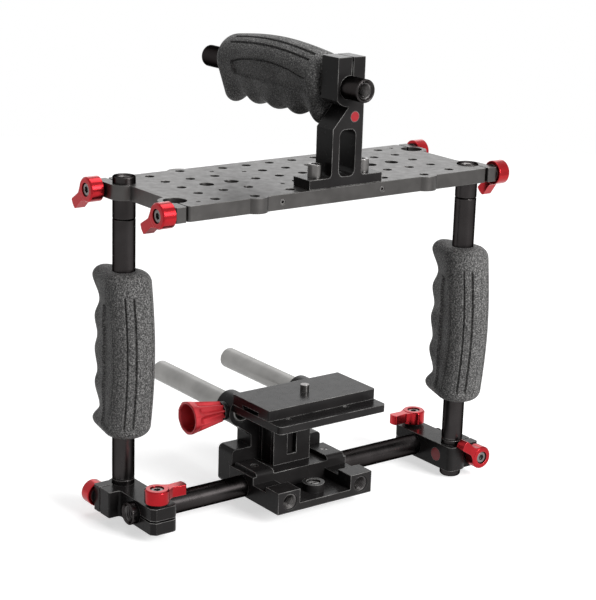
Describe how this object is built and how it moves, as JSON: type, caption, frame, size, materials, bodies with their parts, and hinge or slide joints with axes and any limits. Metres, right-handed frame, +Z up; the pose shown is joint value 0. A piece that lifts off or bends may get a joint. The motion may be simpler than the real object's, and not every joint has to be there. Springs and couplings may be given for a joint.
{
  "type": "camera cage",
  "caption": "Camera cage with drilled top plate, two posts with moulded finger grips, cross rod, riser with quick-release plate, clamp levers and a top handle.",
  "frame": {"origin": "centre hole of the top plate, on its upper face", "axes": "+X along the plate to the right, +Y away from the user, towards the lens, +Z up along the posts"},
  "size_m": [0.283, 0.1838, 0.315],
  "materials": {
    "plate_grey": "satin anodised",
    "black_block": "satin anodised",
    "black_rod": "glossy anodised",
    "red_anodised": "glossy anodised",
    "bare_aluminium": "satin",
    "foam_rubber": "matt, speckled",
    "screw_steel": "satin",
    "dark_washer": "blackened",
    "plain_inlay": "plain gloss"
  },
  "bodies": {
    "frame": {"left_post": "black_rod", "right_post": "black_rod", "left_post_extension": "black_rod", "right_post_extension": "black_rod", "right_post_end_cap": "black_rod", "left_side_grip": "foam_rubber", "right_side_grip": "foam_rubber", "left_corner_block": "black_block", "right_corner_block": "black_block", "block_lever_washers": "dark_washer", "block_inlays": "plain_inlay", "cross_rod": "black_rod"},
    "plate": {"top_plate": "plate_grey", "plate_set_screws": "screw_steel", "plate_lever_washers": "dark_washer", "handle_bracket": "black_block", "bracket_foot_screws": "screw_steel", "bracket_clamp_screw": "screw_steel", "bracket_inlay": "plain_inlay"},
    "near_left_lever": {"near_left_plate_lever": "red_anodised", "near_left_plate_screw": "screw_steel"},
    "far_left_lever": {"far_left_plate_lever": "red_anodised", "far_left_plate_screw": "screw_steel"},
    "near_right_lever": {"near_right_plate_lever": "red_anodised", "near_right_plate_screw": "screw_steel"},
    "far_right_lever": {"far_right_plate_lever": "red_anodised", "far_right_plate_screw": "screw_steel"},
    "left_rod_clamp": {"left_rod_lever": "red_anodised", "left_rod_screw": "screw_steel"},
    "right_rod_clamp": {"right_rod_lever": "red_anodised", "right_rod_screw": "screw_steel"},
    "left_post_clamp": {"left_post_lever": "red_anodised", "left_post_screw": "screw_steel"},
    "right_post_clamp": {"right_post_lever": "red_anodised", "right_post_screw": "screw_steel"},
    "handle": {"handle_tube": "black_rod", "handle_grip": "foam_rubber"},
    "base": {"baseplate": "black_block", "base_lock_screws": "screw_steel", "base_bolts": "screw_steel", "tripod_bushing": "screw_steel", "riser_pillar": "black_block", "rod_bracket": "black_block", "rod_set_screw": "screw_steel", "quick_release_base": "black_block", "quick_release_screws": "screw_steel"},
    "left_rod": {"left_support_rod": "bare_aluminium"},
    "right_rod": {"right_support_rod": "bare_aluminium"},
    "knob": {"rod_clamp_knob": "red_anodised", "rod_clamp_stud": "screw_steel"},
    "camera_mount": {"camera_plate": "black_block"},
    "camera_bolt": {"camera_screw": "screw_steel"}
  },
  "joints": [
    {"name": "plate_height", "type": "slide", "parent": "frame", "child": "plate", "axis": [0, 0, 1], "range_m": [-0.025, 0]},
    {"name": "near_left_lever_turn", "type": "hinge", "parent": "plate", "child": "near_left_lever", "pos_m": [-0.13105, -0.0425, -0.005], "axis": [-1, 0, 0], "range_deg": [-90, 90]},
    {"name": "far_left_lever_turn", "type": "hinge", "parent": "plate", "child": "far_left_lever", "pos_m": [-0.13105, 0.0425, -0.005], "axis": [-1, 0, 0], "range_deg": [-90, 90]},
    {"name": "near_right_lever_turn", "type": "hinge", "parent": "plate", "child": "near_right_lever", "pos_m": [0.13105, -0.0425, -0.005], "axis": [1, 0, 0], "range_deg": [-90, 90]},
    {"name": "far_right_lever_turn", "type": "hinge", "parent": "plate", "child": "far_right_lever", "pos_m": [0.13105, 0.0425, -0.005], "axis": [1, 0, 0], "range_deg": [-90, 90]},
    {"name": "left_rod_lever_turn", "type": "hinge", "parent": "frame", "child": "left_rod_clamp", "pos_m": [-0.121, -0.015, -0.2043], "axis": [0, 0, 1], "range_deg": [-90, 90]},
    {"name": "right_rod_lever_turn", "type": "hinge", "parent": "frame", "child": "right_rod_clamp", "pos_m": [0.121, 0.015, -0.2043], "axis": [0, 0, 1], "range_deg": [-90, 90]},
    {"name": "left_post_lever_turn", "type": "hinge", "parent": "frame", "child": "left_post_clamp", "pos_m": [-0.1333, 0.039, -0.2133], "axis": [0, 1, 0], "range_deg": [-30, 90]},
    {"name": "right_post_lever_turn", "type": "hinge", "parent": "frame", "child": "right_post_clamp", "pos_m": [0.1333, -0.039, -0.2133], "axis": [0, -1, 0], "range_deg": [-30, 90]},
    {"name": "handle_slide", "type": "slide", "parent": "plate", "child": "handle", "axis": [0, 1, 0], "range_m": [-0.003, 0.014]},
    {"name": "base_slide", "type": "slide", "parent": "frame", "child": "base", "axis": [1, 0, 0], "range_m": [-0.025, 0.03]},
    {"name": "rod_knob_turn", "type": "hinge", "parent": "base", "child": "knob", "pos_m": [-0.06, 0.02355, -0.166], "axis": [1, 0, 0], "range_deg": [-270, 0]},
    {"name": "left_rod_slide", "type": "slide", "parent": "base", "child": "left_rod", "axis": [0, 1, 0], "range_m": [0, 0.008]},
    {"name": "right_rod_slide", "type": "slide", "parent": "base", "child": "right_rod", "axis": [0, 1, 0], "range_m": [0, 0.008]},
    {"name": "camera_plate_slide", "type": "slide", "parent": "base", "child": "camera_mount", "axis": [1, 0, 0], "range_m": [-0.012, 0.012]},
    {"name": "camera_screw_turn", "type": "hinge", "parent": "camera_mount", "child": "camera_bolt", "pos_m": [0.003, -0.006, -0.155], "axis": [0, 0, 1], "continuous": true}
  ]
}
